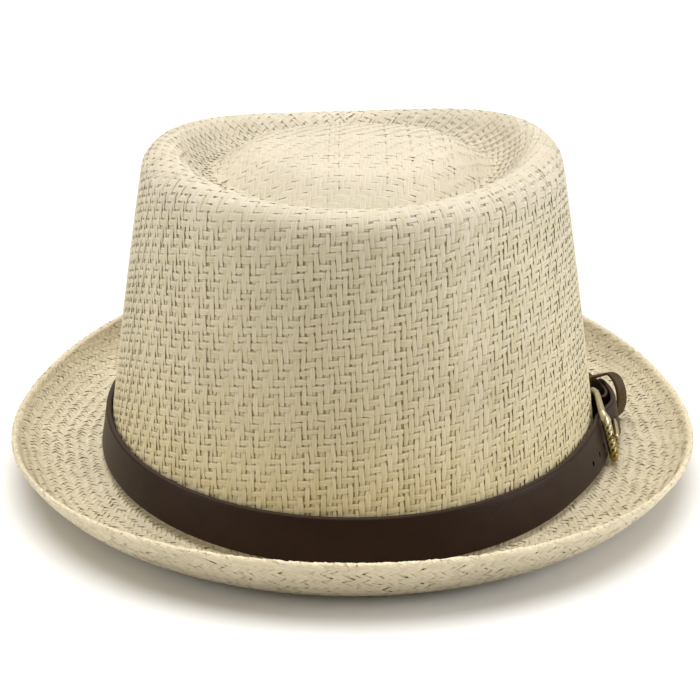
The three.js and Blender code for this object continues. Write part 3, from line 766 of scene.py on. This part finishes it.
def beltPoint(turn, out, height):
    foot = brimFoot(turn)
    up = height / (crestHeight(turn) - hat["rimRadius"] - foot)
    return placed(wallPlan(turn, up) + ovalNormal(turn) * np.asarray(out)[..., None], foot + height)


def pathPoint(along, out, above=0.0):
    return beltPoint(np.asarray(along, float) / hat["baseLong"], out, beltMiddle + above)


def skin(rings, loop):  # points and faces of a closed skin over rings of points
    count, sides = rings.shape[:2]
    points = rings.reshape(-1, 3)
    if loop:
        return points, (gridFaces(count + 1, sides, True) % (count * sides)).tolist()
    faces = gridFaces(count, sides, True).tolist()
    pole, last = count * sides, (count - 1) * sides
    faces += [(pole, i, (i + 1) % sides) for i in range(sides)]
    faces += [(pole + 1, last + (i + 1) % sides, last + i) for i in range(sides)]
    return np.concatenate([points, [rings[0].mean(0), rings[-1].mean(0)]]), faces


def skinMesh(name, rings, loop, values):  # its faces point outwards
    mesh = makeMesh(name, *skin(np.array(rings), loop))
    count = len(mesh.vertices)
    addValues(mesh, {label: np.broadcast_to(numbers, count) for label, numbers in values.items()})
    work = bmesh.new()
    work.from_mesh(mesh)
    bmesh.ops.recalc_face_normals(work, faces=work.faces)
    if work.calc_volume(signed=True) < 0:
        bmesh.ops.reverse_faces(work, faces=work.faces)
    work.to_mesh(mesh)
    work.free()
    return mesh


def strapOutline(thick, high):  # rounded, off the strap's middle and above it; and where the cut edge shows
    radius = belt["round"] * thick
    points, cut = [], []
    for right, upper, first in ((1, 1, 0), (-1, 1, 90), (-1, -1, 180), (1, -1, 270)):
        for k in range(5):
            angle = math.radians(first + 22.5 * k)
            points.append((right * (thick / 2 - radius) + radius * math.cos(angle),
                           upper * (high / 2 - radius) + radius * math.sin(angle)))
            cut.append(1.0 if abs(math.sin(angle)) > 0.8 else 0.0)
        if upper * right < 0:
            for share in (0.75, 0.3, -0.3, -0.75):
                points.append((right * thick / 2, -right * share * (high / 2 - radius)))
                cut.append(0.0)
    return np.array(points), cut


def strapRings():
    fold = [(row[0] / hat["baseLong"],) + row[1:] for row in belt["foldRows"]]
    tail = [(2 * math.pi + row[0] / hat["baseLong"],) + row[1:] for row in belt["tailRows"]]
    first, last, count = fold[-1][0], tail[0][0], belt["wallSteps"]
    wall = [(first + (last - first) * i / count,) + belt["onWall"] for i in range(1, count)]
    stations = catmull(fold + wall + tail, belt["steps"])
    run = np.gradient(beltPoint(stations[:, 0], stations[:, 1], beltMiddle), axis=0)
    run[:, 2] = 0
    run /= np.linalg.norm(run, axis=1, keepdims=True)
    rings, cuts = [], []
    for (turn, out, thick, flare, high), way in zip(stations, run):
        outline, cut = strapOutline(thick, belt["high"] * high)
        above = outline[:, 1]
        sag = belt["sag"] * max(0, math.cos(turn - math.radians(belt["sagTurn"]))) ** 3
        above = np.where(above < 0, above * (1 + 2 * sag / belt["high"]), above)
        ring = beltPoint(turn + 0 * above, out - flare * above / belt["high"], beltMiddle + above)
        rings.append(ring + np.array([way[1], -way[0], 0]) * outline[:, :1])
        cuts += cut
    return rings, cuts


heel, near = pathPoint(*buckle["heel"]), pathPoint(*buckle["near"])
forward = (near - heel) / np.linalg.norm(near - heel)
middleAlong = (buckle["heel"][0] + buckle["near"][0]) / 2
upward = pathPoint(middleAlong, -buckle["lean"], 1) - pathPoint(middleAlong, buckle["lean"], -1)
upward /= np.linalg.norm(upward)
outward = -np.cross(forward, upward)
frameLength = np.linalg.norm(near - heel)


def onBuckle(x, y, out):  # a place in the buckle's own axes: from the heel bar, up along it, and out
    return heel + sum(np.multiply.outer(*pair) for pair in ((x, forward), (y, upward), (out, outward)))


def prongMesh(name, grow=0.0):  # a grown one cuts its slot into the strap, and starts a little before it
    rest = buckle["nearThick"] + buckle["prongRest"] + buckle["prong"]
    rows = [(0.2 if grow else 1.2, 1.5), (5, 1.7), (9.5, 2.3), (14, 3.2), (18.5, 3.3),
            (frameLength - 1.5, rest), (frameLength + 1.6, rest - 0.2)]
    path = catmull(rows, 5)
    radius = np.full(len(path), buckle["prong"] + grow)
    radius[-5:] *= np.array([0.98, 0.94, 0.88, 0.8, 0.66])
    angles = (np.arange(14) + 0.5) / 14 * 2 * math.pi
    rings = [onBuckle(x + 0 * angles, r * np.cos(angles), out + r * np.sin(angles))
             for (x, out), r in zip(path, radius)]
    return skinMesh(name, rings, False, {"hollow": 0, "gilt": 0.4})


def loopPath(part, first, last, end, step):  # points round the buckle or keeper, and the way at each
    half, corner = part["half"], part["corner"]
    path = [("line", (first, -half + corner, first, half - corner)),
            ("arc", (first + corner, half - corner, corner, corner, 180, 90)),
            ("line", (first + corner, half, last, half))] + end
    path += [("line", (last, -half, first + corner, -half)),
             ("arc", (first + corner, -half + corner, corner, corner, -90, -180))]
    points = []
    for kind, values in path:
        if kind == "line":
            start, stop = np.array(values[:2]), np.array(values[2:])
            count = max(int(np.linalg.norm(stop - start) / step), 1)
            points += [start + (stop - start) * k / count for k in range(count)]
        else:
            cx, cy, rx, ry, a0, a1 = values
            count = max(int(abs(math.radians(a1 - a0)) * max(rx, ry) / step), 6)
            angles = [math.radians(a0 + (a1 - a0) * k / count) for k in range(count)]
            points += [np.array([cx + rx * math.cos(angle), cy + ry * math.sin(angle)]) for angle in angles]
    run = alongRows(np.array(points))
    return zip(points, run / np.linalg.norm(run, axis=1, keepdims=True))


def frameMesh():
    half, corner, length, bar = buckle["half"], buckle["corner"], frameLength, buckle["bar"]
    end = [("arc", (length - corner, half - corner, corner, corner, 90, 0)),
           ("line", (length, half - corner, length, -half + corner)),
           ("arc", (length - corner, -half + corner, corner, corner, 0, -90))]
    angles = (np.arange(20) + 0.5) / 20 * 2 * math.pi
    rings, hollows, gilt = [], [], []
    for (x, y), way in loopPath(buckle, 0, length - corner, end, 0.22):
        share = np.clip((x - (length - buckle["nearLong"])) / buckle["nearLong"], 0, 1)
        share = share * share * (3 - 2 * share)
        # the upper side bar thickens, and its far corner is drawn in towards the crown
        stout = np.clip(x / length, 0, 1) * np.clip((y - 5) / 2, 0, 1) * (1 - share)
        drawnIn = buckle["drawnIn"] * np.clip((8 - x) / 8, 0, 1) ** 2 * np.clip((y - 6.3) / 1.5, 0, 1)
        wide = bar + (buckle["nearWide"] - bar) * share + buckle["stoutWide"] * stout
        thick = bar + (buckle["nearThick"] - bar) * share + buckle["stoutThick"] * stout
        square = 1 - 0.35 * share
        across, out = [np.sign(v) * np.abs(v) ** square for v in (np.cos(angles), np.sin(angles))]
        # slanting leaf notches carved along the outer half of the near bar
        place = (y + 0.9 * across) / buckle["notchPitch"]
        leaf = np.clip(1.5 * (1 - np.abs((place - np.floor(place) - 0.5) / 0.33)), 0, 1)
        edge = np.clip(1.5 * (1 - np.abs((np.degrees(angles) - 48) / 50)), 0, 1)
        ends = np.clip((half - 2.4 - y) / 0.8, 0, 1) * np.clip((half - 1.4 + y) / 0.8, 0, 1)
        carved = leaf * edge * share * ends
        turned = math.radians(buckle["faceTurn"]) * share  # its face looks a little to the front
        c, s = math.cos(turned), math.sin(turned)
        flat, raised = wide * across, out * thick - carved * buckle["notchDepth"]
        flat, raised = flat * c + raised * s, raised * c - flat * s
        rings.append(onBuckle(x - way[1] * flat, y + way[0] * flat + buckle["stoutWide"] / 2 * stout,
                              raised + buckle["nearOut"] * share - drawnIn))
        hollows.append(np.clip(carved * 1.4, 0, 1))
        gilt.append(np.full(len(angles), np.clip(0.15 + share * (0.55 - 0.06 * y), 0, 1)))
    return skinMesh("buckle_frame", rings, True, {"hollow": np.ravel(hollows), "gilt": np.ravel(gilt)})


def keeperMesh():
    half, nose = keeper["half"], keeper["half"] * 0.6
    last = keeper["outer"] - nose
    off, ahead = strapOutline(keeper["thick"], keeper["wide"])[0].T
    rings = []
    end = [("arc", (last, 0, nose, half, 90, -90))]
    for (x, y), way in loopPath(keeper, keeper["inner"], last, end, 0.5):
        # its upper side slopes down towards the back, its outer side turns to the front
        drop = keeper["tip"] * ahead
        splay = keeper["splay"] * ahead * np.clip((x - 4) / 7, 0, 1)
        rise = keeper["rise"] * np.clip(x / keeper["outer"], 0, 1) * np.clip(y / half, 0, 1)
        rings.append(pathPoint(keeper["along"] + ahead + x * keeper["skew"], x - way[1] * off + splay,
                               y + way[0] * off - drop + rise))
    return skinMesh("keeper_loop", rings, True, {"cutEdge": 0})


def joinedMesh(name, parts):
    points, faces = [], []
    for part in parts:
        faces += [[len(points) + i for i in q.vertices] for q in part.polygons]
        points += [v.co[:] for v in part.vertices]
    return makeMesh(name, points, faces, 1)


def holePunch(along):
    place = pathPoint(along, belt["onWall"][0], -belt["holeBelow"])
    way = Vector((*ovalNormal(np.array(along / hat["baseLong"])), 0))
    radius = belt["holeRadius"] * mm
    work = bmesh.new()
    bmesh.ops.create_cone(work, cap_ends=True, segments=20, radius1=radius, radius2=radius, depth=20 * mm)
    spin = way.to_track_quat("Z", "Y").to_matrix().to_4x4()
    centre = Matrix.Translation((Vector(place) + way * 8) * mm)
    bmesh.ops.transform(work, matrix=centre @ spin, verts=work.verts)
    mesh = bpy.data.meshes.new("punch")
    work.to_mesh(mesh)
    work.free()
    return mesh


def cutStrap():
    rings, cut = strapRings()
    strap = addObject("strap", skinMesh("strap", rings, False, {"cutEdge": cut + [1.0, 1.0]}))
    punches = [holePunch(belt["firstHole"] - i * belt["holePitch"]) for i in range(1, belt["holes"])]
    punch = addObject("punches", joinedMesh("punches", punches + [prongMesh("slot", buckle["clearance"])]))
    holes = strap.modifiers.new("holes", "BOOLEAN")
    holes.operation, holes.solver, holes.object, holes.use_self = "DIFFERENCE", "EXACT", punch, True
    bpy.context.view_layer.update()
    mesh = bpy.data.meshes.new_from_object(strap.evaluated_get(bpy.context.evaluated_depsgraph_get()))
    mesh.name = "leather_belt"
    for holder in (punch, strap):
        bpy.data.objects.remove(holder)
    return mesh


beltMesh = cutStrap()
makePiece("dyed_leather_belt", beltMesh, leatherMaterial, ("leather_belt",))
beltMesh.set_sharp_from_angle(angle=math.radians(50))
makePiece("cast_buckle_frame", frameMesh(), brassMaterial, ("buckle_frame",))
makePiece("cast_buckle_prong", prongMesh("buckle_prong"), brassMaterial, ("buckle_prong",))
makePiece("leather_keeper", keeperMesh(), keeperMaterial, ("keeper_loop",))
print("belt, buckle and keeper made:", len(beltMesh.polygons), "faces in the strap")

# floor and light
studio = {
    "floorHalf": 4000, "sky": "#FFF2D8", "skyPower": 0.38, "boxSize": 0.8,
    "ceilingWay": (0.05, -0.33, -1), "ceilingPower": 3.5, "ceilingSpread": 60,
    "boxes": [("right_box", (1.3, -0.2, 0.45), 10.5, "#F2F6FF"),
              ("left_box", (-1.3, -0.4, 0.45), 5, "#F6F9FF")],  # name, place, power, tint
    "boxAim": (0, 0, 0.06),
}
floorCorners = np.array([(-1, -1, 0), (1, -1, 0), (1, 1, 0), (-1, 1, 0)]) * studio["floorHalf"]
floorMesh = makeMesh("floor", floorCorners, [(0, 1, 2, 3)])
floorMesh.materials.append(floorMaterial)
floor = addObject("floor", floorMesh)

world = bpy.data.worlds.new("studio")
bpy.context.scene.world = world
world.use_nodes = True
sky = world.node_tree.nodes["Background"].inputs
sky[0].default_value, sky[1].default_value = hexToLinear(studio["sky"]), studio["skyPower"]


def addLight(name, kind, place, way, power, **settings):
    data = bpy.data.lights.new(name, kind)
    data.energy = power
    for key, value in settings.items():
        setattr(data, key, value)
    light = addObject(name, data)
    light.location = place
    light.rotation_euler = facing(way)


# a wide bank of diffused lamps above and a little behind, and a soft box on each side
addLight("ceiling_light", "SUN", (0, 0, 0), studio["ceilingWay"], studio["ceilingPower"],
         angle=math.radians(studio["ceilingSpread"]))
for name, place, power, tint in studio["boxes"]:
    way = Vector(studio["boxAim"]) - Vector(place)
    addLight(name, "AREA", place, way, power, size=studio["boxSize"], color=hexToLinear(tint)[:3])
bpy.context.scene.view_settings.view_transform = "Standard"
print("floor and light set")

for helper in (crownMap, tipMap, brimMap, insideMap, innerTipMap, waveShape, innerShape, lipShape):
    bpy.data.objects.remove(helper)
